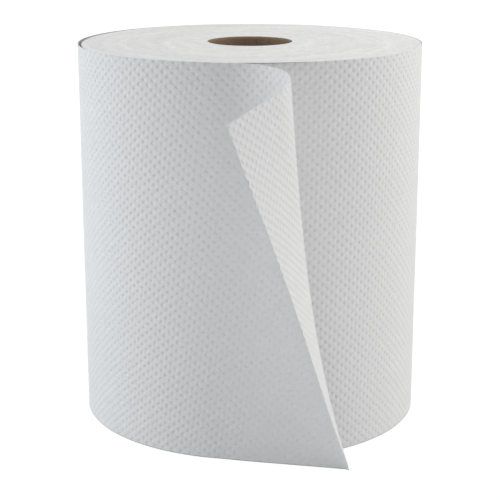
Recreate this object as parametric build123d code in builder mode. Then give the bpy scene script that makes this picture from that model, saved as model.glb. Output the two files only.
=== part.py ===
"""Paper towel roll: one embossed web of towel paper wound on a spiral-wound paperboard tube.

The roll stands on its end. Its axis is Z, its lower end lies on z = 0 and its front is -Y. The
outermost turn sits a little loose round the tight winding. Its free end leaves the front of the
roll towards +X, stands straight along the floor to a sharp corner, and higher up curls forward
and back towards -X, more and more towards its top.

The free end is a sheet that hardly stretches, so it is worked out row by row from its flat cut:
each level row of the web turns round a leaning axis, as on a cone whose tip is the low corner.
"""

import os
from math import cos, exp, floor, log, radians, sin, sinh

from build123d import *

os.makedirs("parts", exist_ok=True)

# Overall sizes of the roll, in millimetres
roll_height = 203.0
roll_radius = 92.4

# Paperboard tube
core_bore_radius = 22.25
core_wall = 0.6

# The web, as thick as its embossing makes it, and the clearance between lapped turns
web_thickness = 0.5
lap_clearance = 0.1

# Loose outer turn: how far the winding sits off its middle, on which bearing it touches,
# and between which bearings the slack shows as a crescent gap. Bearings are degrees from +X.
slack_shift = 1.1
slack_overlap = 0.15
touch_bearing = -40.0
gap_start_bearing = 12.0
gap_end_bearing = 245.0

# Turns that show on both ends: the spiral's pitch, its groove and the plain bands beside it
turn_pitch = 13.0
groove_width = 0.7
groove_depth = 0.4
inner_band = 3.0
outer_band = 2.5

# Free end of the web, cut from flat: its bearing, the lengths of its two edges, how much of the
# lower edge lies in the curl, and how the sheet curls
leave_bearing = 258.7
end_length_low = 69.6
end_length_high = 121.9
curled_length_low = 2.7
curl_lean_low = 13.8
curl_lean_high = 8.6
curl_arc_low = 5.0
curl_arc_high = 86.0
curl_turn_low = 81.5
curl_turn_high = 114.1
curl_easing = 0.35
end_trim = 0.15
root_overlap = 2.5

# How finely the free end is worked out: rows up its height, crowding towards the low corner,
# and columns along each row, crowding round its bend
row_count = 15
row_crowding = 1.6
column_count = 16
column_crowding_low = 5.0
column_crowding_high = 0.8
steps_per_column = 12

# Sizes that follow
core_radius = core_bore_radius + core_wall
outer_turn_wall = web_thickness + 2 * lap_clearance
outer_turn_bore = roll_radius - outer_turn_wall
winding_radius = outer_turn_bore - slack_shift + slack_overlap
winding_centre = Vector(slack_shift, 0).rotate(Axis.Z, touch_bearing)
step_height = web_thickness + 3 * lap_clearance
flat_length_low = end_length_low - curled_length_low


def at_bearing(radius: float, bearing: float) -> Vector:
    """Point of the plan at a radius and a bearing in degrees from +X."""
    return Vector(radius * cos(radians(bearing)), radius * sin(radians(bearing)))


def between(low: float, high: float, share: float) -> float:
    """Value at a share of the way from low to high."""
    return low + (high - low) * share


def crowded(length: float, middle: float, crowding: float) -> list[float]:
    """Column places from 0 to a length that crowd round a place between them.

    Args:
        length: where the last column lies.
        middle: the place round which the columns crowd.
        crowding: how strongly they do so.
    """
    share = middle / length
    column = log((1 + (exp(crowding) - 1) * share) / (1 + (exp(-crowding) - 1) * share)) / (2 * crowding)
    return [
        middle * (1 + sinh(crowding * (index / column_count - column)) / sinh(crowding * column))
        for index in range(column_count + 1)
    ]


def free_end_row(height: float) -> list[Vector]:
    """Points along one level row of the free end's outer face, from its root to the cut.

    Args:
        height: height of the row in the flat web, in millimetres.
    """
    share = height / roll_height
    along = at_bearing(1, leave_bearing + 90)
    outward = at_bearing(1, leave_bearing)
    row_length = root_overlap + between(end_length_low, end_length_high, share)
    curl_start = root_overlap + flat_length_low * (1 - share)
    curl_arc = between(curl_arc_low, curl_arc_high, share**2)
    curl_turn = radians(between(curl_turn_low, curl_turn_high, share**2))
    lean = radians(between(curl_lean_low, curl_lean_high, share))
    crowding = between(column_crowding_low, column_crowding_high, share)
    places = crowded(row_length, curl_start + share * curl_arc / 2, crowding)
    point = outward * (roll_radius - lap_clearance) - along * root_overlap + Vector(0, 0, height)
    row = [point]
    for place, next_place in zip(places, places[1:]):
        step = (next_place - place) / steps_per_column
        for index in range(steps_per_column):
            distance = place + (index + 0.5) * step
            turned = min(max((distance - curl_start) / curl_arc, 0), 1)
            eased = turned * turned * (3 - 2 * turned)
            turn = curl_turn * between(turned, eased, curl_easing)
            point += along * (step * (sin(lean) ** 2 + cos(turn) * cos(lean) ** 2))
            point += outward * (step * sin(turn) * cos(lean))
            point -= Vector(0, 0, step * sin(lean) * cos(lean) * (1 - cos(turn)))
        row.append(point)
    return row


# Paperboard tube, cut to length together with the roll
with BuildPart() as core:
    with BuildSketch(Plane.XY):
        Circle(core_radius)
        Circle(core_bore_radius, mode=Mode.SUBTRACT)
    extrude(amount=roll_height)

# Outer face of the free end
end_heights = [
    between(end_trim, roll_height - end_trim, (row / (row_count - 1)) ** row_crowding) for row in range(row_count)
]
column_parameters = [column / column_count for column in range(column_count + 1)]
end_rows = [Wire([Edge.make_spline(free_end_row(height), parameters=column_parameters)]) for height in end_heights]
free_end_face = Shell.make_loft(end_rows).faces()[0]

# Crescent between the winding and its loose outer turn
with BuildSketch(Plane.XY) as slack_gap:
    Circle(outer_turn_bore)
    with Locations(winding_centre):
        Circle(winding_radius, mode=Mode.SUBTRACT)
    with BuildLine(Plane.XY):
        Line((0, 0), at_bearing(roll_radius, gap_start_bearing))
        CenterArc((0, 0), roll_radius, gap_start_bearing, gap_end_bearing - gap_start_bearing)
        Line(at_bearing(roll_radius, gap_end_bearing), (0, 0))
    make_face(mode=Mode.INTERSECT)

# Edges of the turns on an end: a spiral groove of half circles about two centres
half_pitch = turn_pitch / 2
spiral_start = core_radius + inner_band
turn_count = floor((winding_radius - outer_band - groove_width - spiral_start) / turn_pitch)
with BuildSketch(Plane.XY) as turn_edges:
    with BuildLine(Plane.XY):
        for half in range(2 * turn_count):
            half_centre = winding_centre + Vector(half_pitch * (half % 2), 0)
            half_radius = spiral_start + half * half_pitch
            CenterArc(half_centre, half_radius, 180 * (half % 2), 180)
            CenterArc(half_centre, half_radius + groove_width, 180 * (half % 2), 180)
        for reach in (spiral_start, spiral_start + turn_count * turn_pitch):
            Line(winding_centre + Vector(reach, 0), winding_centre + Vector(reach + groove_width, 0))
    make_face()

# The whole web: winding, outer turn with its step, and free end
with BuildPart() as towel:
    with BuildSketch(Plane.XY):
        with BuildLine(Plane.XY):
            CenterArc((0, 0), roll_radius, touch_bearing, leave_bearing - touch_bearing)
            Line(at_bearing(roll_radius, leave_bearing), at_bearing(roll_radius - step_height, leave_bearing))
            ThreePointArc(
                at_bearing(roll_radius - step_height, leave_bearing),
                at_bearing(roll_radius - step_height / 2, between(leave_bearing, 360 + touch_bearing, 0.5)),
                at_bearing(roll_radius, touch_bearing),
            )
        make_face()
        Circle(core_radius, mode=Mode.SUBTRACT)
    extrude(amount=roll_height)
    extrude(slack_gap.sketch, amount=roll_height, mode=Mode.SUBTRACT)
    extrude(turn_edges.sketch, amount=groove_depth, mode=Mode.SUBTRACT)
    extrude(turn_edges.sketch.moved(Pos(Z=roll_height)), amount=-groove_depth, mode=Mode.SUBTRACT)
    thicken(free_end_face, amount=-web_thickness)

core.part.label = "core"
towel.part.label = "towel"
export_step(core.part, "parts/core.step")
export_step(towel.part, "parts/towel.step")
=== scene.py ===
"""Paper towel roll standing on its end: its embossed web, its wound ends and its paperboard core.

Sizes are in metres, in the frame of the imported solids: the roll's axis is Z, its lower end lies on
z = 0 and its front, where the free end of the web leaves the roll, is -Y. Bearings are degrees from +X.
"""

import logging
from dataclasses import dataclass, field
from enum import Enum
from math import cos, pi, radians, sin, tan

import bmesh
import bpy
import numpy as np
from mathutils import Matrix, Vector


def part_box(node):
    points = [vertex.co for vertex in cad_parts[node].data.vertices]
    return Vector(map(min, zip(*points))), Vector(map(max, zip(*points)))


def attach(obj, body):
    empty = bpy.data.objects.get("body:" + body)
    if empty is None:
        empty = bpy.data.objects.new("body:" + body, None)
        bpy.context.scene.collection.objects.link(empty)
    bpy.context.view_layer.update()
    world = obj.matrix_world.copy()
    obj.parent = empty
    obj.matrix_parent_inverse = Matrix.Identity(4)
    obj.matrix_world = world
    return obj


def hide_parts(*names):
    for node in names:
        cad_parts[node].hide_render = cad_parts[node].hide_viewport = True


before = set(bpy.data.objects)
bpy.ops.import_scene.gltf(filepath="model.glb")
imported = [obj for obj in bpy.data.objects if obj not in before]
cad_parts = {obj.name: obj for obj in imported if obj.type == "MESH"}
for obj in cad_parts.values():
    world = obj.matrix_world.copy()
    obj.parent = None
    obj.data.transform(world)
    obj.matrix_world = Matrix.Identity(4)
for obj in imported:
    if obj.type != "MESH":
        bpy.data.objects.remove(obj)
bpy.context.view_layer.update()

MM = 0.001
SMOOTH_ANGLE = radians(50.0)
Colour = tuple[float, float, float]
Stretch = tuple[float, float, float]

# Attributes in which the pieces keep their places from before they were shaped
WEB_PLACE = "web_place"
LATTICE_PLACE = "lattice_place"
TURN_PLACE = "turn_place"

# Vertices at the same place: on seams to these digits of a millimetre, on a spun ring by distance
SEAM_DIGITS = 3
MERGE_DISTANCE = 0.01 * MM

# Vertices at the same height, on a level and at an edge of the web, in shares of a row of dimples
LEVEL_SHARE = 0.01

# An edge runs round the roll where it turns by this share of a column or more, and a face is a wall
# where this share of its normal or more lies along the radius
ROUND_SHARE = 0.25
FACING_SHARE = 0.7

# How far the winding laps over the core, so that no light passes between them
CORE_LAP = 0.02 * MM

# Factors that scatter whole numbers into repeatable ones from 0 to 1
SCATTER = (127.1, 311.7, 43758.5453)

# Sockets of the mix node, by number, since several share a name: its share, its two numbers, its
# two colours and its mixed colour
MIX_SHARE = 0
MIX_NUMBERS = (2, 3)
MIX_COLOURS = (6, 7)
MIXED_COLOUR = 2

log = logging.getLogger("paper_towel_roll")


class Held(Enum):
    """How a stretch of the web is held."""

    WOUND = "stretched"
    CURLED = "folded"


class Slot(Enum):
    """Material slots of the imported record."""

    TOWEL = "towel"
    CORE = "core"


class Tint(Enum):
    """Colours of the lamps' light."""

    WHITE = (1.0, 1.0, 1.0)
    PALE = (0.97, 0.99, 1.0)
    COOL = (0.90, 0.975, 1.0)
    WARM = (1.0, 0.98, 0.95)


# Helpers for numbers, meshes and selections


def between(low: float, high: float, share: float) -> float:
    """Value at a share of the way from low to high."""
    return low + (high - low) * share


def smooth_share(share: np.ndarray) -> np.ndarray:
    """Share eased in and out between 0 and 1."""
    kept = np.clip(share, 0, 1)
    return kept * kept * (3 - 2 * kept)


def hashed(first: np.ndarray, second: np.ndarray) -> np.ndarray:
    """Repeatable numbers from 0 to 1 for pairs of whole numbers."""
    mixed = np.sin(first * SCATTER[0] + second * SCATTER[1]) * SCATTER[2]
    return mixed - np.floor(mixed)


def value_noise(first: np.ndarray, second: np.ndarray) -> np.ndarray:
    """Smooth noise from 0 to 1 over a plane whose whole numbers are its cells.

    Args:
        first: places along the plane's first direction.
        second: places along its second direction.

    Returns:
        The noise at each pair of places.
    """
    low_first, low_second = np.floor(first), np.floor(second)
    share_first, share_second = smooth_share(first - low_first), smooth_share(second - low_second)
    lower, upper = (
        between(hashed(low_first, level), hashed(low_first + 1, level), share_first)
        for level in (low_second, low_second + 1)
    )
    return between(lower, upper, share_second)


def coordinates(piece: bpy.types.Object) -> np.ndarray:
    """Read the places of a piece's vertices.

    Args:
        piece: the piece.

    Returns:
        The places, one row for each vertex.
    """
    places = np.zeros(len(piece.data.vertices) * 3, np.float32)
    piece.data.vertices.foreach_get("co", places)
    return places.reshape(-1, 3).astype(float)


def move_vertices(piece: bpy.types.Object, places: np.ndarray) -> None:
    """Put every vertex of a piece in its place."""
    piece.data.vertices.foreach_set("co", places.astype(np.float32).ravel())
    piece.data.update()


def start_piece(name: str) -> bpy.types.Object:
    """Name the primitive that was just added, which is then the only thing selected.

    Args:
        name: name of the piece and of its mesh.

    Returns:
        The piece.
    """
    piece = bpy.context.object
    piece.name = name
    piece.data.name = name
    return piece


def use_only(piece: bpy.types.Object) -> None:
    """Select one piece alone and make it the active one.

    Args:
        piece: the piece that the next operators work on.
    """
    bpy.ops.object.select_all(action="DESELECT")
    piece.select_set(True)
    bpy.context.view_layer.objects.active = piece


def store_places(piece: bpy.types.Object, name: str, places: np.ndarray) -> None:
    """Keep places of a piece's vertices in an attribute."""
    attribute = piece.data.attributes.new(name, "FLOAT_VECTOR", "POINT")
    attribute.data.foreach_set("vector", places.astype(np.float32).ravel())


def stored_places(piece: bpy.types.Object, name: str) -> np.ndarray:
    """Read the places that an attribute of a piece keeps.

    Args:
        piece: the piece.
        name: the attribute's name.

    Returns:
        The places, one row for each vertex.
    """
    places = np.zeros(len(piece.data.vertices) * 3, np.float32)
    piece.data.attributes[name].data.foreach_get("vector", places)
    return places.reshape(-1, 3)


def spin_round(piece: bpy.types.Object, steps: int) -> None:
    """Spin a closed section once round the roll's axis and close the ring.

    Args:
        piece: the section, in its own vertical plane.
        steps: how many steps the turn takes.
    """
    use_only(piece)
    bpy.ops.object.mode_set(mode="EDIT")
    bpy.ops.mesh.select_all(action="SELECT")
    bpy.ops.mesh.spin(steps=steps, angle=2 * pi, use_auto_merge=True, center=(0, 0, 0), axis=(0, 0, 1))
    bpy.ops.mesh.select_all(action="SELECT")
    bpy.ops.mesh.remove_doubles(threshold=MERGE_DISTANCE)
    bpy.ops.mesh.normals_make_consistent(inside=False)
    bpy.ops.object.mode_set(mode="OBJECT")


def dress_piece(piece: bpy.types.Object, material: bpy.types.Material) -> None:
    """Give a piece its material and its place on the roll.

    Args:
        piece: the finished piece.
        material: the finish that covers it.
    """
    piece.data.materials.clear()
    piece.data.materials.append(material)
    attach(piece, "root")


def shade_walls(piece: bpy.types.Object, shade: bpy.types.Material, inwards: bool) -> None:
    """Give the painted gap shade to the upright faces of a dressed piece that look in at the axis, or
    out from it.

    Args:
        piece: a piece round the roll's axis.
        shade: the painted shade of the gap's walls.
        inwards: whether the faces look in at the axis.
    """
    # The walls that the gap hides get painted shade in place of the paper's white
    piece.data.materials.append(shade)
    count = len(piece.data.polygons)
    middles, normals = np.zeros(count * 3, np.float32), np.zeros(count * 3, np.float32)
    piece.data.polygons.foreach_get("center", middles)
    piece.data.polygons.foreach_get("normal", normals)
    middles, normals = middles.reshape(-1, 3)[:, :2], normals.reshape(-1, 3)[:, :2]
    radius = np.linalg.norm(middles, axis=1)
    outward = (middles * normals).sum(axis=1) / radius
    if inwards:
        walls = outward < -FACING_SHARE
    else:
        walls = (outward > FACING_SHARE) & (radius > radius.max() / 2)
    piece.data.polygons.foreach_set("material_index", walls.astype(np.int32))
    piece.data.update()


# Finishes


class Nodes:
    """A material's node tree, with short ways to add what the finishes share."""

    def __init__(self, name: str) -> None:
        """Start a material with one shader and its output.

        Args:
            name: the material's name.
        """
        self.material = bpy.data.materials.new(name)
        self.material.use_nodes = True
        self.tree = self.material.node_tree
        self.shader = self.tree.nodes["Principled BSDF"]

    def add(self, kind: str, **settings: object) -> bpy.types.Node:
        """Add a node and set its properties.

        Args:
            kind: Blender's name of the node's type.
            settings: its properties by name.

        Returns:
            The node.
        """
        node = self.tree.nodes.new(kind)
        for key, value in settings.items():
            setattr(node, key, value)
        return node

    def link(self, output: bpy.types.NodeSocket, target: bpy.types.NodeSocket) -> None:
        """Join two sockets."""
        self.tree.links.new(output, target)

    def feed(self, node: bpy.types.Node, inputs: dict[int | str, object]) -> bpy.types.Node:
        """Set a node's inputs, linking those that are sockets and writing the others.

        Args:
            node: the node to feed.
            inputs: what goes into each input, by its number or name.

        Returns:
            The same node.
        """
        for key, value in inputs.items():
            if isinstance(value, bpy.types.NodeSocket):
                self.link(value, node.inputs[key])
            else:
                node.inputs[key].default_value = value
        return node

    def attribute(self, name: str) -> bpy.types.NodeSocket:
        """Place that an attribute of the piece keeps."""
        return self.add("ShaderNodeAttribute", attribute_name=name).outputs["Vector"]

    def math(self, operation: str, first: object, second: object = 0.0) -> bpy.types.NodeSocket:
        """Result of one sum on numbers or sockets."""
        node = self.add("ShaderNodeMath", operation=operation)
        return self.feed(node, {0: first, 1: second}).outputs[0]

    def weighted(self, terms: list[tuple[bpy.types.NodeSocket, float]]) -> bpy.types.NodeSocket:
        """Sum of sockets, each times its weight.

        Args:
            terms: the sockets with their weights.

        Returns:
            The sum.
        """
        total, *others = (self.math("MULTIPLY", socket, weight) for socket, weight in terms)
        for other in others:
            total = self.math("ADD", total, other)
        return total

    def length(self, place: bpy.types.NodeSocket) -> bpy.types.NodeSocket:
        """Distance of a place from the origin."""
        node = self.add("ShaderNodeVectorMath", operation="LENGTH")
        return self.feed(node, {0: place}).outputs["Value"]

    def parts(self, place: bpy.types.NodeSocket) -> bpy.types.bpy_prop_collection:
        """The three numbers of a place."""
        return self.feed(self.add("ShaderNodeSeparateXYZ"), {0: place}).outputs

    def noise(
        self, place: bpy.types.NodeSocket, scale: float, detail: float = 2.0
    ) -> bpy.types.NodeSocket:
        """Noise at a place, with a scale in cells to the unit of that place."""
        node = self.add("ShaderNodeTexNoise")
        return self.feed(node, {"Vector": place, "Scale": scale, "Detail": detail}).outputs[0]

    def stretched(self, place: bpy.types.NodeSocket, stretch: Stretch) -> bpy.types.NodeSocket:
        """Place with each direction scaled by itself."""
        return self.feed(self.add("ShaderNodeMapping"), {"Vector": place, "Scale": stretch}).outputs[0]

    def ranged(
        self, value: bpy.types.NodeSocket, start: float, end: float, low: float, high: float
    ) -> bpy.types.NodeSocket:
        """Number that goes from low to high while a value goes from start to end.

        Args:
            value: the value that drives it.
            start: the value where it begins to change.
            end: the value where it stops.
            low: the number up to the start.
            high: the number from the end on.

        Returns:
            The number.
        """
        node = self.add("ShaderNodeMapRange")
        limits = {"From Min": start, "From Max": end, "To Min": low, "To Max": high}
        return self.feed(node, {"Value": value, **limits}).outputs[0]

    def ramp(self, share: bpy.types.NodeSocket, low: object, high: Colour) -> bpy.types.NodeSocket:
        """Colour between two, by a share that is kept from 0 to 1.

        Args:
            share: the share of the second colour.
            low: the first colour, or a socket that gives it.
            high: the second colour.

        Returns:
            The mixed colour.
        """
        node = self.add("ShaderNodeMix", data_type="RGBA", clamp_factor=True)
        first = low if isinstance(low, bpy.types.NodeSocket) else (*low, 1)
        colours = dict(zip(MIX_COLOURS, (first, (*high, 1))))
        return self.feed(node, {MIX_SHARE: share, **colours}).outputs[MIXED_COLOUR]

    def bump(
        self, height: bpy.types.NodeSocket, distance: float, below: bpy.types.NodeSocket | None = None
    ) -> bpy.types.NodeSocket:
        """Normal of a surface roughened by a height, on top of another one where it is given.

        Args:
            height: the height of the roughness.
            distance: how far a height of 1 stands out, in metres.
            below: the normal that it lies on.

        Returns:
            The normal.
        """
        node = self.feed(self.add("ShaderNodeBump"), {"Height": height, "Distance": distance})
        node.inputs["Strength"].default_value = 1.0
        if below is not None:
            self.link(below, node.inputs["Normal"])
        return node.outputs[0]

    def finish(self, roughness: float, specular: float, **inputs: object) -> bpy.types.Material:
        """Set the shader's inputs.

        Args:
            roughness: its roughness.
            specular: its level of mirrored light.
            inputs: its colour and normal, with an underscore for each space.

        Returns:
            The finished material.
        """
        named = {key.replace("_", " "): value for key, value in inputs.items()}
        self.feed(self.shader, {"Roughness": roughness, "Specular IOR Level": specular, **named})
        return self.material


@dataclass(frozen=True)
class TowelPaper:
    """Soft white towel paper, seen flat on: crepe, loose fibres, a slight cloudiness and crisp dimples.

    The dimples' pressing is negative where they are pressed in and positive where they stand out.
    Their narrowness tells how quickly they fall off, and a band of painted shade darkens the lower cut
    edge, where the roll stands on the floor.
    """

    name: str = "towel_paper"
    pressing: float = -0.32 * MM
    narrowness: float = 1.5
    thick: Colour = (0.872, 0.876, 0.880)
    thin: Colour = (0.838, 0.842, 0.846)
    roughness: float = 0.95
    specular: float = 0.2
    detail: float = 3.0
    cloud_scale: float = 160.0
    fibre_scale: float = 1500.0
    crepe_scale: float = 900.0
    crepe_stretch: Stretch = (1.0, 0.18, 1.0)
    crepe_depth: float = 0.025 * MM
    fibre_depth: float = 0.02 * MM
    # Band of painted shade along the lower cut edge, and how dark it gets
    edge_width: float = 0.6 * MM
    edge_shade: float = 0.72

    def build(self) -> bpy.types.Material:
        """Make the material, which follows the flat web.

        Returns:
            The material.
        """
        nodes = Nodes(self.name)
        place = nodes.attribute(WEB_PLACE)
        clouds = nodes.noise(place, self.cloud_scale, self.detail)
        fibres = nodes.noise(place, self.fibre_scale, self.detail)
        crepe = nodes.noise(nodes.stretched(place, self.crepe_stretch), self.crepe_scale)
        mottle = nodes.math("MULTIPLY", nodes.math("ADD", clouds, fibres), 0.5)
        # Painted shade: the colour darkens towards the lower cut edge, where the roll stands on the
        # floor
        painted_edge_shade = nodes.ranged(nodes.parts(place)[1], 0.0, self.edge_width, self.edge_shade, 1.0)
        shaded = nodes.add("ShaderNodeVectorMath", operation="SCALE")
        nodes.feed(shaded, {0: nodes.ramp(mottle, self.thin, self.thick), "Scale": painted_edge_shade})
        dimpled = nodes.bump(self.dimples(nodes), 1.0)
        rough = nodes.bump(crepe, self.crepe_depth, below=dimpled)
        normal = nodes.bump(fibres, self.fibre_depth, below=rough)
        colour = shaded.outputs["Vector"]
        return nodes.finish(self.roughness, self.specular, Base_Color=colour, Normal=normal)

    def dimples(self, nodes: Nodes) -> bpy.types.NodeSocket:
        """Height of the embossing, whose dimples lie where two waves crest or sink together.

        Args:
            nodes: the material's nodes.

        Returns:
            The height, in metres.
        """
        column, row, crispness = nodes.parts(nodes.attribute(LATTICE_PLACE))
        waves = [nodes.math("COSINE", nodes.math("MULTIPLY", place, 2 * pi)) for place in (column, row)]
        crest = nodes.math("MAXIMUM", nodes.math("MULTIPLY", *waves), 0.0)
        pressing = nodes.math("MULTIPLY", crispness, self.pressing)
        return nodes.math("MULTIPLY", nodes.math("POWER", crest, self.narrowness), pressing)


@dataclass(frozen=True)
class TowelReverse(TowelPaper):
    """The reverse of the web, where the dimples stand out."""

    name: str = "towel_reverse"
    pressing: float = 0.34 * MM


@dataclass(frozen=True)
class TurnEdges:
    """Cut edges of hundreds of turns: fine rings in broader bands, broken up by loose fibres, coloured
    lighter where they stand high and darker where they sink, as painted light and shade along with
    their tone.
    """

    name: str = "turn_edges"
    # Painted light on the turns that stand high and painted shade on those that sink, over their tone
    lit_high: Colour = (0.905, 0.902, 0.896)
    shaded_low: Colour = (0.760, 0.757, 0.750)
    roughness: float = 0.95
    specular: float = 0.2
    turn: float = 0.4 * MM
    turn_breaks: float = 14.0
    turn_weight: float = 0.4
    turn_depth: float = 0.26 * MM
    band: float = 6.0 * MM
    band_breaks: float = 1.2
    band_weight: float = 0.3
    grain_scale: float = 420.0
    grain_detail: float = 3.0
    grain_weight: float = 0.3
    grain_depth: float = 0.16 * MM
    contrast: float = 5.0

    def build(self) -> bpy.types.Material:
        """Make the material, which follows the turns as they lay before the winding was shaped.

        Returns:
            The material.
        """
        nodes = Nodes(self.name)
        place = nodes.attribute(TURN_PLACE)
        level = nodes.stretched(place, (1.0, 1.0, 0.0))
        turns = self.rings(nodes, level, self.turn, self.turn_breaks)
        bands = self.rings(nodes, level, self.band, self.band_breaks)
        grain = nodes.noise(place, self.grain_scale, self.grain_detail)
        weights = (self.turn_weight, self.band_weight, self.grain_weight)
        shade = nodes.weighted(list(zip((turns, bands, grain), weights)))
        # The colour paints light and shade on the relief: lighter where the turns and grain stand high,
        # darker where they sink
        contrasted = nodes.math("MULTIPLY", nodes.math("SUBTRACT", shade, 0.5), self.contrast)
        colour = nodes.ramp(nodes.math("ADD", contrasted, 0.5), self.shaded_low, self.lit_high)
        normal = nodes.bump(grain, self.grain_depth, below=nodes.bump(turns, self.turn_depth))
        return nodes.finish(self.roughness, self.specular, Base_Color=colour, Normal=normal)

    @staticmethod
    def rings(
        nodes: Nodes, level: bpy.types.NodeSocket, width: float, breaks: float
    ) -> bpy.types.NodeSocket:
        """Noise drawn out along rings.

        Args:
            nodes: the material's nodes.
            level: place on the end, from the roll's axis.
            width: width of a ring, in metres.
            breaks: how often a ring breaks up on its way round.

        Returns:
            The noise.
        """
        outward = nodes.feed(nodes.add("ShaderNodeVectorMath", operation="NORMALIZE"), {0: level})
        around = nodes.add("ShaderNodeVectorMath", operation="SCALE")
        nodes.feed(around, {0: outward.outputs["Vector"], "Scale": breaks})
        first, second, _ = nodes.parts(around.outputs["Vector"])
        ring = nodes.math("DIVIDE", nodes.length(level), width)
        place = nodes.feed(nodes.add("ShaderNodeCombineXYZ"), {0: first, 1: second, 2: ring})
        return nodes.noise(place.outputs[0], 1.0)


@dataclass(frozen=True)
class Paperboard:
    """Grey-brown recycled board with short fibres and a few dark flecks."""

    name: str = "paperboard"
    light: Colour = (0.42, 0.305, 0.215)
    dark: Colour = (0.28, 0.198, 0.135)
    fleck: Colour = (0.10, 0.07, 0.05)
    roughness: float = 0.9
    specular: float = 0.25
    cloud_scale: float = 240.0
    cloud_detail: float = 4.0
    fibre_scale: float = 1300.0
    fibre_detail: float = 3.0
    fibre_stretch: Stretch = (1.0, 1.0, 0.35)
    fibre_depth: float = 0.15 * MM
    fleck_scale: float = 700.0
    fleck_detail: float = 1.0
    fleck_stretch: Stretch = (1.0, 1.0, 0.5)
    fleck_level: float = 0.70
    fleck_contrast: float = 14.0

    def build(self) -> bpy.types.Material:
        """Make the material, which follows the tube's own coordinates.

        Returns:
            The material.
        """
        nodes = Nodes(self.name)
        place = nodes.add("ShaderNodeTexCoord").outputs["Object"]
        clouds = nodes.noise(place, self.cloud_scale, self.cloud_detail)
        drawn_out = nodes.stretched(place, self.fibre_stretch)
        fibres = nodes.noise(drawn_out, self.fibre_scale, self.fibre_detail)
        mottle = nodes.math("MULTIPLY", nodes.math("ADD", clouds, fibres), 0.5)
        board = nodes.ramp(mottle, self.dark, self.light)
        longer = nodes.stretched(place, self.fleck_stretch)
        spots = nodes.noise(longer, self.fleck_scale, self.fleck_detail)
        over = nodes.math("SUBTRACT", spots, self.fleck_level)
        colour = nodes.ramp(nodes.math("MULTIPLY", over, self.fleck_contrast), board, self.fleck)
        normal = nodes.bump(fibres, self.fibre_depth)
        return nodes.finish(self.roughness, self.specular, Base_Color=colour, Normal=normal)


@dataclass(frozen=True)
class GapShade:
    """Painted shade on the walls of the deep gap between the winding and its slack outer turn, where
    little light comes.
    """

    name: str = "gap_shade"
    # Grey that stands in for the little light in the gap, not the paper's own colour
    colour: Colour = (0.42, 0.425, 0.43)
    roughness: float = 1.0
    specular: float = 0.0

    def build(self) -> bpy.types.Material:
        """Make the material."""
        return Nodes(self.name).finish(self.roughness, self.specular, Base_Color=(*self.colour, 1))


# The web


@dataclass(frozen=True)
class Embossing:
    """Staggered lattice of small round dimples, pressed in from the web's outer face.

    The lattice's rows are level. Its columns lean, more so where the outer turn has come loose.
    Half widths and heights tell how quickly a dimple falls off, and steps are the grid's in a pitch.
    """

    pitch: float = 5.25 * MM
    rows_high: int = 43
    staggers: tuple[float, float] = (0.0, 0.5)
    depth: float = 0.34 * MM
    half_width: float = 0.70 * MM
    half_height: float = 0.78 * MM
    unevenness: float = 0.10
    lean_loose: float = 7.0
    lean_tight: float = 1.4
    steps: int = 6

    def dimples(self, column: np.ndarray, row: np.ndarray, row_pitch: float) -> np.ndarray:
        """Depth of the embossing at places of the lattice.

        Args:
            column: place along the web, in pitches.
            row: place up the web, in rows.
            row_pitch: height of a row, in metres.

        Returns:
            How far each place is pressed in, in metres.
        """
        depth = np.zeros(np.broadcast(column, row).shape)
        for stagger in self.staggers:
            near_column, near_row = np.round(column - stagger), np.round(row - stagger)
            across = (column - stagger - near_column) * self.pitch
            upwards = (row - stagger - near_row) * row_pitch
            strength = 1 - self.unevenness * hashed(near_column + stagger, near_row)
            away = (across / self.half_width) ** 2 + (upwards / self.half_height) ** 2
            depth += self.depth * strength * np.exp(-away / 2)
        return depth


@dataclass
class FlatWeb:
    """Grid over the flat web, with a row for each height and columns that run up the web.

    It holds each grid point's distance along the web, each row's height, their places in the
    embossing's lattice, the share of the dimples' depth that is left, and the free end's first column.
    """

    along: np.ndarray
    height: np.ndarray
    lattice_column: np.ndarray
    lattice_row: np.ndarray
    crispness: np.ndarray
    root_column: int


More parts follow.
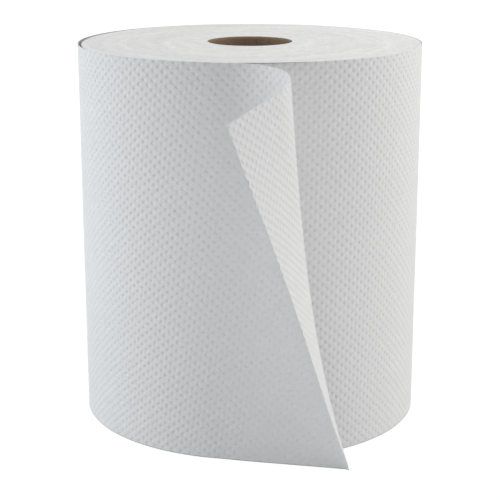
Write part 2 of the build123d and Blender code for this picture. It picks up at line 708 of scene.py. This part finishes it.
@dataclass
class Web:
    """The outermost turn of the web, from where it dips under itself to the cut of its free end.

    Distances along the web count from the line where it leaves the roll, and are negative on the roll.
    """

    roll_radius: float
    height: float
    embossing: Embossing = field(default_factory=Embossing)

    # On the roll: its bearings and how far it steps down and runs on under its free end
    leave_bearing: float = 258.7
    touch_bearing: float = -40.0
    step_drop: float = 0.8 * MM
    hidden_reach: float = 12.0 * MM
    seam_bearings: tuple[float, ...] = (176.0, 60.0)

    # The paper, and the shell of the wound stretches: its rims and its inner wall
    paper: float = 0.35 * MM
    rim: float = 0.35 * MM
    wall_inset: float = 0.9 * MM
    wall_sink: float = 1.5 * MM

    # The free end's flat cut and its curl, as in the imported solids
    end_length_low: float = 69.6 * MM
    end_length_high: float = 121.9 * MM
    curled_length_low: float = 2.7 * MM
    curl_lean_low: float = 13.8
    curl_lean_high: float = 8.6
    curl_arc_low: float = 5.0 * MM
    curl_arc_high: float = 86.0 * MM
    curl_turn_low: float = 81.5
    curl_turn_high: float = 114.1
    curl_easing: float = 0.35
    curl_step: float = 0.25 * MM
    spare_steps: int = 10
    free_columns: int = 141

    # How the free end clings to the roll towards its top and lies a little out from it elsewhere
    cling_length: float = 22.0 * MM
    cling_drop: float = 2.8 * MM
    lift: float = 0.5 * MM

    # Teeth of the cut edge, one at each row of dimples, made uneven by one lane of noise
    tooth_depth: float = 0.36 * MM
    tooth_sharpness: int = 4
    tooth_unevenness: float = 0.5
    tooth_drift: float = 0.8
    tooth_lane: float = 5.0

    # Dimples stop short of the long edges, and handling wore them down towards the low corner
    plain_edge: float = 1.2 * MM
    wear: float = 0.6
    worn_reach: float = 30.0 * MM
    worn_height: float = 0.7

    # Slow waves of the paper
    ripple: float = 0.12 * MM
    ripple_length: float = 31.0 * MM

    @property
    def row_pitch(self) -> float:
        """Height of one row of the lattice."""
        return self.height / self.embossing.rows_high

    @property
    def column_step(self) -> float:
        """Distance between the grid's columns."""
        return self.embossing.pitch / self.embossing.steps

    def distance_at(self, bearing: float) -> float:
        """Distance along the web of a bearing on the roll."""
        return radians(bearing - self.leave_bearing) * self.roll_radius

    def lay_flat(self) -> FlatWeb:
        """Lay the grid over the flat web, its columns along the lattice's so that each dimple is met.

        Returns:
            The grid. On the roll its columns lean as the lattice does, and on the free end they
            turn from that lean to the cut edge.
        """
        steps = self.embossing.steps
        height = np.linspace(0, self.height, self.embossing.rows_high * steps + 1)
        loose_shift = height * tan(radians(self.embossing.lean_loose))
        turn = 2 * pi * self.roll_radius
        root = -self.column_step * np.ceil(loose_shift[-1] / self.column_step)
        wound_count = int(np.ceil((turn + root + self.hidden_reach) / self.column_step))
        start = root - self.column_step * np.arange(wound_count, -1, -1)
        tightness = np.clip(start / self.distance_at(0), 0, 1)
        lean = between(self.embossing.lean_loose, self.embossing.lean_tight, tightness)
        wound = start[None, :] + height[:, None] * np.tan(np.radians(lean))[None, :]
        cut = between(self.end_length_low, self.end_length_high, height / self.height)
        cut = cut + self.teeth(height)
        shares = np.arange(1, self.free_columns + 1) / self.free_columns
        free = between(wound[:, -1:], cut[:, None], shares[None, :])
        lattice_free = (free - loose_shift[:, None]) / self.embossing.pitch
        lattice_wound = np.repeat(start[None, :] / self.embossing.pitch, len(height), axis=0)
        along = np.hstack([wound, free])
        return FlatWeb(
            along=along,
            height=height,
            lattice_column=np.hstack([lattice_wound, lattice_free]),
            lattice_row=height / self.row_pitch + 1 / steps,
            crispness=self.crispness_left(along, height),
            root_column=wound_count,
        )

    def crispness_left(self, along: np.ndarray, height: np.ndarray) -> np.ndarray:
        """Share of the dimples' depth that handling has left.

        Args:
            along: distances along the web, a row for each height.
            height: the rows' heights.

        Returns:
            The share at each grid point.
        """
        outwards = smooth_share(along / self.worn_reach)
        downwards = smooth_share(1 - height / self.height / self.worn_height)
        return 1 - self.wear * outwards * downwards[:, None]

    def teeth(self, height: np.ndarray) -> np.ndarray:
        """How far the cut edge stands out at some heights, in a tooth at each row of dimples.

        Args:
            height: heights in the flat web.

        Returns:
            How far the edge stands out there, or in where it is negative.
        """
        row = height / self.row_pitch
        tooth = np.abs(np.cos(pi * row)) ** self.tooth_sharpness
        uneven = value_noise(row * self.tooth_drift, np.full_like(row, self.tooth_lane)) - 0.5
        return self.tooth_depth * (2 * tooth - 1 + self.tooth_unevenness * uneven)

    def wound_points(self, along: np.ndarray, height: np.ndarray) -> np.ndarray:
        """Places on the roll. The turn steps down to the one below it where it dips under its free end.

        Args:
            along: distances along the web, a row for each height.
            height: the rows' heights.

        Returns:
            Place of each grid point.
        """
        bearing = self.leave_bearing + np.degrees(along / self.roll_radius)
        stepping = (self.touch_bearing - bearing) / (self.touch_bearing + 360 - self.leave_bearing)
        radius = self.roll_radius - self.step_drop * smooth_share(stepping)
        heights = np.broadcast_to(height[:, None], along.shape)
        angle = np.radians(bearing)
        return np.stack([radius * np.cos(angle), radius * np.sin(angle), heights], axis=-1)

    def free_points(self, along: np.ndarray, height: np.ndarray) -> np.ndarray:
        """Places on the free end: each level row turns round a leaning axis, as on a cone.

        Args:
            along: distances along the web, a row for each height.
            height: the rows' heights.

        Returns:
            Place of each grid point.
        """
        share = height / self.height
        curl_start = (self.end_length_low - self.curled_length_low) * (1 - share)
        curl_arc = between(self.curl_arc_low, self.curl_arc_high, share**2)
        curl_turn = np.radians(between(self.curl_turn_low, self.curl_turn_high, share**2))
        lean = np.radians(between(self.curl_lean_low, self.curl_lean_high, share))[:, None]
        steps = np.arange(0, self.end_length_high + self.spare_steps * self.curl_step, self.curl_step)
        middles = steps[None, :-1] + self.curl_step / 2
        turned = np.clip((middles - curl_start[:, None]) / curl_arc[:, None], 0, 1)
        turn = curl_turn[:, None] * between(turned, smooth_share(turned), self.curl_easing)
        forward = self.curl_step * (np.sin(lean) ** 2 + np.cos(turn) * np.cos(lean) ** 2)
        outward = self.curl_step * np.sin(turn) * np.cos(lean)
        sink = self.curl_step * np.sin(lean) * np.cos(lean) * (1 - np.cos(turn))
        radial = np.array([cos(radians(self.leave_bearing)), sin(radians(self.leave_bearing)), 0])
        tangent = np.array([-radial[1], radial[0], 0])
        points = np.zeros(along.shape + (3,))
        for row, distances in enumerate(along):
            gone = [np.concatenate([[0], np.cumsum(part[row])]) for part in (forward, outward, sink)]
            forth, out, down = (np.interp(distances, steps, part) for part in gone)
            out = out - self.cling_drop * share[row] * smooth_share(distances / self.cling_length)
            points[row] = tangent * forth[:, None] + radial * (self.roll_radius + out[:, None])
            points[row, :, 2] = height[row] - down
        return points

    def shape(self, flat: FlatWeb) -> np.ndarray:
        """Wind the flat grid onto the roll, curl its free end and press the dimples in.

        Args:
            flat: the grid over the flat web.

        Returns:
            Place of each row's and column's grid point on the web's outer face.
        """
        wound = self.wound_points(flat.along, flat.height)
        free = self.free_points(flat.along, flat.height)
        smooth = np.where(flat.along[..., None] < 0, wound, free)
        pressed = self.embossing.dimples(flat.lattice_column, flat.lattice_row[:, None], self.row_pitch)
        from_edge = np.minimum(flat.height, self.height - flat.height)[:, None]
        pressed *= smooth_share(from_edge / self.plain_edge) * flat.crispness
        waves = value_noise(flat.along / self.ripple_length, flat.height[:, None] / self.ripple_length)
        lift = self.lift * smooth_share(flat.along / self.cling_length)
        outwards = lift - pressed - self.ripple * waves
        shaped = smooth + self.facing(smooth) * outwards[..., None]
        shaped[..., 2] = np.clip(shaped[..., 2], 0, self.height)
        return shaped

    @staticmethod
    def facing(points: np.ndarray) -> np.ndarray:
        """Outward normal at each grid point."""
        crossed = np.cross(np.gradient(points, axis=1), np.gradient(points, axis=0))
        return crossed / np.linalg.norm(crossed, axis=-1, keepdims=True)

    def build(self) -> list[bpy.types.Object]:
        """Model the free end and the turn behind it, in pieces that meet along columns of dimples.

        Returns:
            The free end first, and then the stretches of the outer turn.
        """
        flat = self.lay_flat()
        points = self.shape(flat)
        normals = self.facing(points)
        seam_distances = [self.distance_at(bearing) for bearing in self.seam_bearings]
        seams = [int(np.searchsorted(flat.along[0], distance)) for distance in seam_distances]
        edges = [flat.root_column, *seams, 0]
        free_end = self.grid("free_end", flat, points, slice(flat.root_column, None))
        self.thicken(free_end)
        self.match_seams(free_end, points, normals, [flat.root_column])
        pieces = [free_end]
        for number, (last, first) in enumerate(zip(edges, edges[1:]), start=1):
            stretch = self.grid(f"outer_turn_{number}", flat, points, slice(first, last + 1))
            self.close_shell(stretch)
            self.match_seams(stretch, points, normals, [first, last])
            pieces.append(stretch)
        return pieces

    def grid(self, name: str, flat: FlatWeb, points: np.ndarray, columns: slice) -> bpy.types.Object:
        """Add a grid primitive and move it to a stretch of the web.

        Args:
            name: name of the piece.
            flat: the grid over the flat web.
            points: places on the web's outer face.
            columns: which columns the piece takes.

        Returns:
            The piece, one face thick, which keeps its places in the flat web and the lattice.
        """
        part = points[:, columns]
        rows, count = part.shape[:2]
        bpy.ops.object.select_all(action="DESELECT")
        bpy.ops.mesh.primitive_grid_add(x_subdivisions=count - 1, y_subdivisions=rows - 1, size=1)
        piece = start_piece(name)
        start = coordinates(piece)
        column = np.round((start[:, 0] + 0.5) * (count - 1)).astype(int)
        row = np.round((start[:, 1] + 0.5) * (rows - 1)).astype(int)
        move_vertices(piece, part[row, column])
        places, lattice = np.zeros_like(start), np.zeros_like(start)
        places[:, 0] = flat.along[:, columns][row, column]
        places[:, 1] = flat.height[row]
        lattice[:, 0] = flat.lattice_column[:, columns][row, column]
        lattice[:, 1] = flat.lattice_row[row]
        lattice[:, 2] = flat.crispness[:, columns][row, column]
        store_places(piece, WEB_PLACE, places)
        store_places(piece, LATTICE_PLACE, lattice)
        return piece

    def thicken(self, piece: bpy.types.Object) -> None:
        """Give the free end the paper's thickness, so that its dimples are bumps on the reverse.

        Args:
            piece: the free end, one face thick.
        """
        use_only(piece)
        solidify = piece.modifiers.new("paper", "SOLIDIFY")
        solidify.thickness = self.paper
        solidify.offset = -1
        bpy.ops.object.modifier_apply(modifier=solidify.name)
        bpy.ops.object.shade_smooth_by_angle(angle=SMOOTH_ANGLE)

    def close_shell(self, piece: bpy.types.Object) -> None:
        """Give a wound stretch its rims and a plain inner wall, which only its neighbours face.

        Args:
            piece: the stretch, one face thick.
        """
        use_only(piece)
        bpy.ops.object.mode_set(mode="EDIT")
        bpy.ops.mesh.select_mode(type="EDGE")
        rim_share = 1 - self.rim / self.roll_radius
        wall_share = 1 - self.wall_inset / self.roll_radius
        for level, sink in ((self.height, -self.wall_sink), (0.0, self.wall_sink)):
            self.select_edges(piece, (level,))
            bpy.ops.mesh.extrude_edges_move()
            bpy.ops.transform.resize(value=(rim_share, rim_share, 1), center_override=(0, 0, 0))
            bpy.ops.mesh.extrude_edges_move(TRANSFORM_OT_translate={"value": (0, 0, sink)})
            bpy.ops.transform.resize(value=(wall_share, wall_share, 1), center_override=(0, 0, 0))
        self.select_edges(piece, (self.height - self.wall_sink, self.wall_sink))
        bpy.ops.mesh.bridge_edge_loops()
        bpy.ops.mesh.select_all(action="SELECT")
        bpy.ops.mesh.fill_holes(sides=0)
        bpy.ops.mesh.select_all(action="SELECT")
        bpy.ops.mesh.normals_make_consistent(inside=False)
        bpy.ops.object.mode_set(mode="OBJECT")
        bpy.ops.object.shade_smooth_by_angle(angle=SMOOTH_ANGLE)

    def select_edges(self, piece: bpy.types.Object, levels: tuple[float, ...]) -> None:
        """Select the open edges that run round the roll at some heights, in edit mode.

        Args:
            piece: the stretch of the web in edit mode.
            levels: heights of the edges, in metres.
        """
        mesh = bmesh.from_edit_mesh(piece.data)
        bpy.ops.mesh.select_all(action="DESELECT")
        close = self.row_pitch * LEVEL_SHARE
        least_turn = self.column_step / self.roll_radius * ROUND_SHARE
        for edge in mesh.edges:
            ends = [vertex.co for vertex in edge.verts]
            level = any(all(abs(end.z - height) < close for end in ends) for height in levels)
            round_it = abs(ends[0].xy.angle_signed(ends[1].xy)) > least_turn
            edge.select_set(edge.is_boundary and level and round_it)
        bmesh.update_edit_mesh(piece.data)

    @staticmethod
    def match_seams(
        piece: bpy.types.Object, points: np.ndarray, normals: np.ndarray, columns: list[int]
    ) -> None:
        """Give a piece's seam vertices the whole web's normals, so that no seam shows.

        Args:
            piece: the finished piece.
            points: places on the web's outer face.
            normals: outward normals there.
            columns: the seams' columns.
        """
        wanted = np.vstack([points[:, column] for column in columns]).astype(np.float32)
        facing = np.vstack([normals[:, column] for column in columns])
        keys = map(tuple, np.round(wanted / MM, SEAM_DIGITS))
        lookup = dict(zip(keys, facing))
        own_keys = map(tuple, np.round(coordinates(piece).astype(np.float32) / MM, SEAM_DIGITS))
        custom = [tuple(map(float, lookup.get(key, (0, 0, 0)))) for key in own_keys]
        piece.data.normals_split_custom_set_from_vertices(custom)

    def dress(self, pieces: list[bpy.types.Object], shade: bpy.types.Material) -> None:
        """Give the pieces their paper, the free end its reverse and the inner walls their painted
        shade.

        Args:
            pieces: the free end first, and then the stretches of the outer turn.
            shade: the painted shade of the gap's walls.
        """
        paper = TowelPaper().build()
        free_end, *stretches = pieces
        for piece in pieces:
            dress_piece(piece, paper)
        # Painted shade on the inner walls that face the gap
        for piece in stretches:
            shade_walls(piece, shade, inwards=True)
        free_end.data.materials.append(TowelReverse().build())

        # The vertices of the reverse came last, as the sheet was thickened
        first_behind = len(free_end.data.vertices) // 2
        for polygon in free_end.data.polygons:
            if min(polygon.vertices) >= first_behind:
                polygon.material_index = 1

    def declare_sheets(self, pieces: list[bpy.types.Object]) -> None:
        """Read the places in the flat web that each stretch of the web keeps; nothing more is done with
        them.

        Args:
            pieces: the free end first, and then the stretches of the outer turn.
        """
        for piece in pieces:
            places = stored_places(piece, WEB_PLACE)


# The winding and the core


@dataclass(frozen=True)
class SlackGap:
    """Gap between the winding and its slack outer turn, which opens round some bearings."""

    closed: float = 0.1 * MM
    bearings: tuple[float, ...] = (163.0, 12.0)
    half_reaches: tuple[float, ...] = (46.0, 30.0)
    widths: tuple[float, ...] = (2.4 * MM, 0.5 * MM)
    steepness: float = 1.3

    def extra(self, bearing: np.ndarray) -> np.ndarray:
        """Width of the gap beyond its closed width.

        Args:
            bearing: bearings in degrees.

        Returns:
            The width at each of them.
        """
        width = np.zeros_like(bearing)
        for middle, reach, opened in zip(self.bearings, self.half_reaches, self.widths):
            away = np.abs((bearing - middle + 180) % 360 - 180)
            width += opened * smooth_share(self.steepness * (1 - away / reach))
        return width


@dataclass
class Winding:
    """The tight body of the roll, narrower below its rims. Both ends show the edges of its turns."""

    inner_radius: float
    outer_radius: float
    height: float
    gap: SlackGap
    waist: float = 1.1 * MM
    waist_sink: float = 1.2 * MM
    slack_power: float = 4.0
    stations: int = 188
    spin_steps: int = 240

    # How unevenly the turns stand: each by itself, in a fine grain, and in slow waves that are one
    # lane of noise. The ends stay plain beside both walls.
    turn: float = 1.05 * MM
    edge_depth: float = 0.22 * MM
    edge_spread: float = 0.22
    edge_weight: float = 0.6
    stand_weight: float = 0.5
    grain: float = 0.12 * MM
    grain_size: float = 1.6 * MM
    sag: float = 0.5 * MM
    sag_width: float = 9.0 * MM
    sag_lane: float = 3.0
    plain_outside: float = 2.0 * MM
    plain_inside: float = 1.0 * MM

    def build(self) -> bpy.types.Object:
        """Spin the section round the roll's axis and work the turns into both ends.

        Returns:
            The winding, which keeps its places from before it was worked.
        """
        bpy.ops.object.select_all(action="DESELECT")
        count = 2 * self.stations + 2
        bpy.ops.mesh.primitive_circle_add(vertices=count, radius=self.outer_radius, fill_type="NOTHING")
        piece = start_piece("winding")
        radii = np.linspace(self.inner_radius, self.outer_radius, self.stations)
        waist = np.full(2, self.outer_radius - self.waist)

        # Out along the lower end, up the waist, and back along the upper end
        section = np.zeros((count, 3))
        section[:, 0] = np.concatenate([radii, waist, radii[::-1]])
        section[self.stations, 2] = self.waist_sink
        section[self.stations + 1, 2] = self.height - self.waist_sink
        section[self.stations + 2 :, 2] = self.height
        move_vertices(piece, section)
        spin_round(piece, self.spin_steps)

        # The ends are lowered turn by turn, and the outer turns give way to the gap
        places = coordinates(piece)
        store_places(piece, TURN_PLACE, places)
        lowered = self.relief(places)
        upper = places[:, 2] > self.height / 2
        places[:, 2] += np.where(upper, -lowered, lowered)
        radius = np.hypot(places[:, 0], places[:, 1])
        share = np.clip((radius - self.inner_radius) / (self.outer_radius - self.inner_radius), 0, 1)
        bearing = np.degrees(np.arctan2(places[:, 1], places[:, 0]))
        narrower = 1 - share**self.slack_power * self.gap.extra(bearing) / radius
        places[:, :2] *= narrower[:, None]
        move_vertices(piece, places)
        use_only(piece)
        bpy.ops.object.shade_smooth_by_angle(angle=SMOOTH_ANGLE)
        return piece

    def relief(self, places: np.ndarray) -> np.ndarray:
        """How far an end lies below the roll's height, where turns stand unevenly and sag a little.

        Args:
            places: vertex places of the plain winding.

        Returns:
            How far each of them is lowered, in metres.
        """
        radius = np.hypot(places[:, 0], places[:, 1])
        round_share = np.arctan2(places[:, 1], places[:, 0]) / (2 * pi)
        turns = (radius - self.inner_radius) / self.turn - round_share
        number = np.floor(turns)
        edge = np.exp(-(((turns - number) / self.edge_spread) ** 2))
        stand = hashed(number, np.zeros_like(number))
        grain = value_noise(places[:, 0] / self.grain_size, places[:, 1] / self.grain_size)
        slow = value_noise(radius / self.sag_width, np.full_like(radius, self.sag_lane))
        uneven = self.edge_weight * edge + self.stand_weight * stand
        depth = self.edge_depth * uneven + self.grain * grain + self.sag * slow
        from_outside = smooth_share((self.outer_radius - radius) / self.plain_outside)
        from_inside = smooth_share((radius - self.inner_radius) / self.plain_inside)
        return depth * (from_outside * from_inside)

    def dress(self, piece: bpy.types.Object, shade: bpy.types.Material) -> None:
        """Give the winding the edges of its turns, and its outer wall the painted shade.

        Args:
            piece: the winding.
            shade: the painted shade of the gap's walls.
        """
        dress_piece(piece, TurnEdges().build())
        # Painted shade on the outer wall that faces the gap
        shade_walls(piece, shade, inwards=False)
        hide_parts("towel")


@dataclass
class Core:
    """Spiral-wound paperboard tube. The butt joint of its inner ply runs round it as a steep helix."""

    outer_radius: float
    height: float
    bore_radius: float = 22.25 * MM
    levels: int = 150
    spin_steps: int = 220
    edge_width: float = 0.45 * MM
    edge_drop: float = 0.8 * MM
    ply_rise: float = 88.0 * MM
    joint_width: float = 0.7 * MM
    joint_depth: float = 0.18 * MM
    joint_bearing: float = 128.0
    fuzz: float = 0.05 * MM
    fuzz_size: float = 1.1 * MM

    def build(self) -> bpy.types.Object:
        """Spin the tube's section and work the joint and the fibres into its bore.

        Returns:
            The tube, with a bevel at both mouths of its bore.
        """
        heights = np.linspace(0, self.height, self.levels)
        heights[0], heights[-1] = self.edge_drop, self.height - self.edge_drop
        mouth_radius = self.bore_radius + self.edge_width
        rims = [
            (mouth_radius, self.height),
            (self.outer_radius, self.height),
            (self.outer_radius, 0.0),
            (mouth_radius, 0.0),
        ]
        count = self.levels + len(rims)
        bpy.ops.object.select_all(action="DESELECT")
        bpy.ops.mesh.primitive_circle_add(vertices=count, radius=self.bore_radius, fill_type="NOTHING")
        piece = start_piece("core_tube")

        # Up the bore, out over the upper end, down the outside, and in under the lower end
        section = np.zeros((count, 3))
        section[:, 0] = self.bore_radius
        section[: self.levels, 2] = heights
        section[self.levels :, [0, 2]] = rims
        move_vertices(piece, section)
        spin_round(piece, self.spin_steps)
        places = coordinates(piece)
        radius = np.hypot(places[:, 0], places[:, 1])
        in_bore = radius < self.bore_radius + self.edge_width / 2
        widened = (radius + self.relief(places) * in_bore) / radius
        places[:, :2] *= widened[:, None]
        move_vertices(piece, places)
        use_only(piece)
        bpy.ops.object.shade_smooth_by_angle(angle=SMOOTH_ANGLE)
        return piece

    def relief(self, places: np.ndarray) -> np.ndarray:
        """How far the bore's wall lies back, in the joint of its plies and unevenly elsewhere.

        Args:
            places: vertex places of the plain tube.

        Returns:
            How far the wall lies back at each of them, in metres.
        """
        bearing = np.arctan2(places[:, 1], places[:, 0]) - radians(self.joint_bearing)
        behind = (bearing / (2 * pi) - (places[:, 2] - self.height) / self.ply_rise) % 1.0
        away = np.minimum(behind, 1 - behind) * 2 * pi * self.bore_radius
        joint = self.joint_depth * np.exp(-((away / self.joint_width) ** 2))
        fuzz = value_noise(bearing * self.bore_radius / self.fuzz_size, places[:, 2] / self.fuzz_size)
        return joint + self.fuzz * fuzz

    def dress(self, piece: bpy.types.Object) -> None:
        """Give the tube its paperboard."""
        dress_piece(piece, Paperboard().build())
        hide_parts("core")


# The studio


@dataclass(frozen=True)
class Lamp:
    """A soft square lamp that looks at the middle of the roll."""

    name: str
    bearing: float
    rise: float
    power: float
    tint: Tint = Tint.WHITE
    side: float = 0.6
    distance: float = 1.3

    def hang(self, middle: Vector) -> None:
        """Add the lamp to the scene.

        Args:
            middle: the place that it looks at, from its own distance.
        """
        light = bpy.data.lights.new(self.name, "AREA")
        light.shape = "SQUARE"
        light.size = self.side
        light.energy = self.power
        light.color = self.tint.value
        bearing, rise = radians(self.bearing), radians(self.rise)
        towards = Vector((cos(rise) * cos(bearing), cos(rise) * sin(bearing), sin(rise)))
        lamp = bpy.data.objects.new(self.name, light)
        lamp.location = middle + towards * self.distance
        lamp.rotation_euler = (-towards).to_track_quat("-Z", "Y").to_euler()
        bpy.context.scene.collection.objects.link(lamp)


@dataclass(frozen=True)
class Studio:
    """White floor, soft lamps at both sides and above, and the camera in front."""

    camera_distance: float = 737.3 * MM
    camera_height: float = 285.8 * MM
    camera_dip: float = 15.143
    lens: float = 97.94
    sensor: float = 36.0
    ambient: float = 0.30

    # The floor: its size and paint, and how its own white grows with the distance from the roll
    floor_side: float = 14.0
    floor_colour: Colour = (0.9, 0.9, 0.9)
    floor_roughness: float = 0.9
    glow: float = 1.12
    glow_share: float = 0.82
    glow_near: float = 0.30
    glow_far: float = 0.80

    # The lamps, and the height on the roll's axis that they look at
    lamps_height: float = 0.1
    lamps: tuple[Lamp, ...] = (
        Lamp("left_lamp", bearing=184, rise=4, power=0.86, tint=Tint.COOL, side=0.4, distance=0.55),
        Lamp("right_lamp", bearing=-15, rise=4, power=0.41, tint=Tint.WARM, side=0.4, distance=0.55),
        Lamp("far_right_lamp", bearing=8, rise=10, power=3.0, tint=Tint.WARM),
        Lamp("high_left_lamp", bearing=180, rise=50, power=4.2, tint=Tint.PALE, side=0.8),
        Lamp("high_right_lamp", bearing=0, rise=60, power=0.88, side=0.3, distance=0.6),
        Lamp("top_lamp", bearing=90, rise=85, power=2.4, side=0.8),
        Lamp("front_lamp", bearing=270, rise=5, power=1.05, side=0.8, distance=1.6),
    )

    def build(self) -> None:
        """Light the room, lay the floor, hang the lamps and set the camera."""
        scene = bpy.context.scene
        scene.view_settings.view_transform = "Standard"
        self.light_room(scene)
        self.lay_floor()
        for lamp in self.lamps:
            lamp.hang(Vector((0, 0, self.lamps_height)))
        self.set_camera(scene)

    def set_camera(self, scene: bpy.types.Scene) -> None:
        """Set the camera in front of the roll, looking down on its top.

        Args:
            scene: the scene that it films.
        """
        camera = bpy.data.cameras.new("camera")
        camera.lens = self.lens
        camera.sensor_width = self.sensor
        holder = bpy.data.objects.new("camera", camera)
        holder.location = (0, -self.camera_distance, self.camera_height)
        holder.rotation_euler = (radians(90 - self.camera_dip), 0, 0)
        scene.collection.objects.link(holder)
        scene.camera = holder

    def light_room(self, scene: bpy.types.Scene) -> None:
        """Make the room an even grey that the camera sees as white.

        Args:
            scene: the scene that the room surrounds.
        """
        world = bpy.data.worlds.new("room")
        world.use_nodes = True
        scene.world = world
        nodes, links = world.node_tree.nodes, world.node_tree.links
        path = nodes.new("ShaderNodeLightPath")
        strength = nodes.new("ShaderNodeMix")
        for number, value in zip(MIX_NUMBERS, (self.ambient, 1.0)):
            strength.inputs[number].default_value = value
        links.new(path.outputs["Is Camera Ray"], strength.inputs[MIX_SHARE])
        links.new(strength.outputs[0], nodes["Background"].inputs["Strength"])
        nodes["Background"].inputs["Color"].default_value = (1, 1, 1, 1)

    def lay_floor(self) -> None:
        """Lay a floor that is white to the camera and keeps the roll's faint shadow near it."""
        bpy.ops.object.select_all(action="DESELECT")
        bpy.ops.mesh.primitive_plane_add(size=self.floor_side)
        floor = start_piece("floor")
        nodes = Nodes("floor_white")
        nodes.finish(self.floor_roughness, 0.0, Base_Color=(*self.floor_colour, 1))
        glow = nodes.feed(nodes.add("ShaderNodeEmission"), {"Strength": self.glow})
        path = nodes.add("ShaderNodeLightPath")
        distance = nodes.length(nodes.add("ShaderNodeTexCoord").outputs["Object"])
        spread = nodes.ranged(distance, self.glow_near, self.glow_far, self.glow_share, 1.0)
        share = nodes.math("MULTIPLY", path.outputs["Is Camera Ray"], spread)
        mix = nodes.add("ShaderNodeMixShader")
        nodes.feed(mix, {0: share, 1: nodes.shader.outputs[0], 2: glow.outputs[0]})
        nodes.link(mix.outputs[0], nodes.tree.nodes["Material Output"].inputs["Surface"])
        floor.data.materials.append(nodes.material)


def report(piece: bpy.types.Object) -> None:
    """Log a finished piece with its number of triangles."""
    triangles = sum(len(polygon.vertices) - 2 for polygon in piece.data.polygons)
    log.info("%s: %d triangles", piece.name, triangles)


def main() -> None:
    """Build the studio and the roll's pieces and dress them."""
    logging.basicConfig(level=logging.INFO, format="%(name)s: %(message)s")
    Studio().build()
    towel_low, towel_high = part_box("towel")
    core_low, core_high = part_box("core")
    roll_radius = towel_high.x
    height = towel_high.z - towel_low.z
    web = Web(roll_radius=roll_radius, height=height)
    web_pieces = web.build()
    gap = SlackGap()
    winding = Winding(
        inner_radius=core_high.x - CORE_LAP,
        outer_radius=roll_radius - web.rim - gap.closed,
        height=height,
        gap=gap,
    )
    winding_piece = winding.build()
    core = Core(outer_radius=core_high.x, height=core_high.z - core_low.z)
    core_piece = core.build()
    shade = GapShade().build()
    web.dress(web_pieces, shade)
    winding.dress(winding_piece, shade)
    core.dress(core_piece)
    web.declare_sheets(web_pieces)
    for piece in (*web_pieces, winding_piece, core_piece):
        report(piece)


if __name__ == "__main__":
    main()
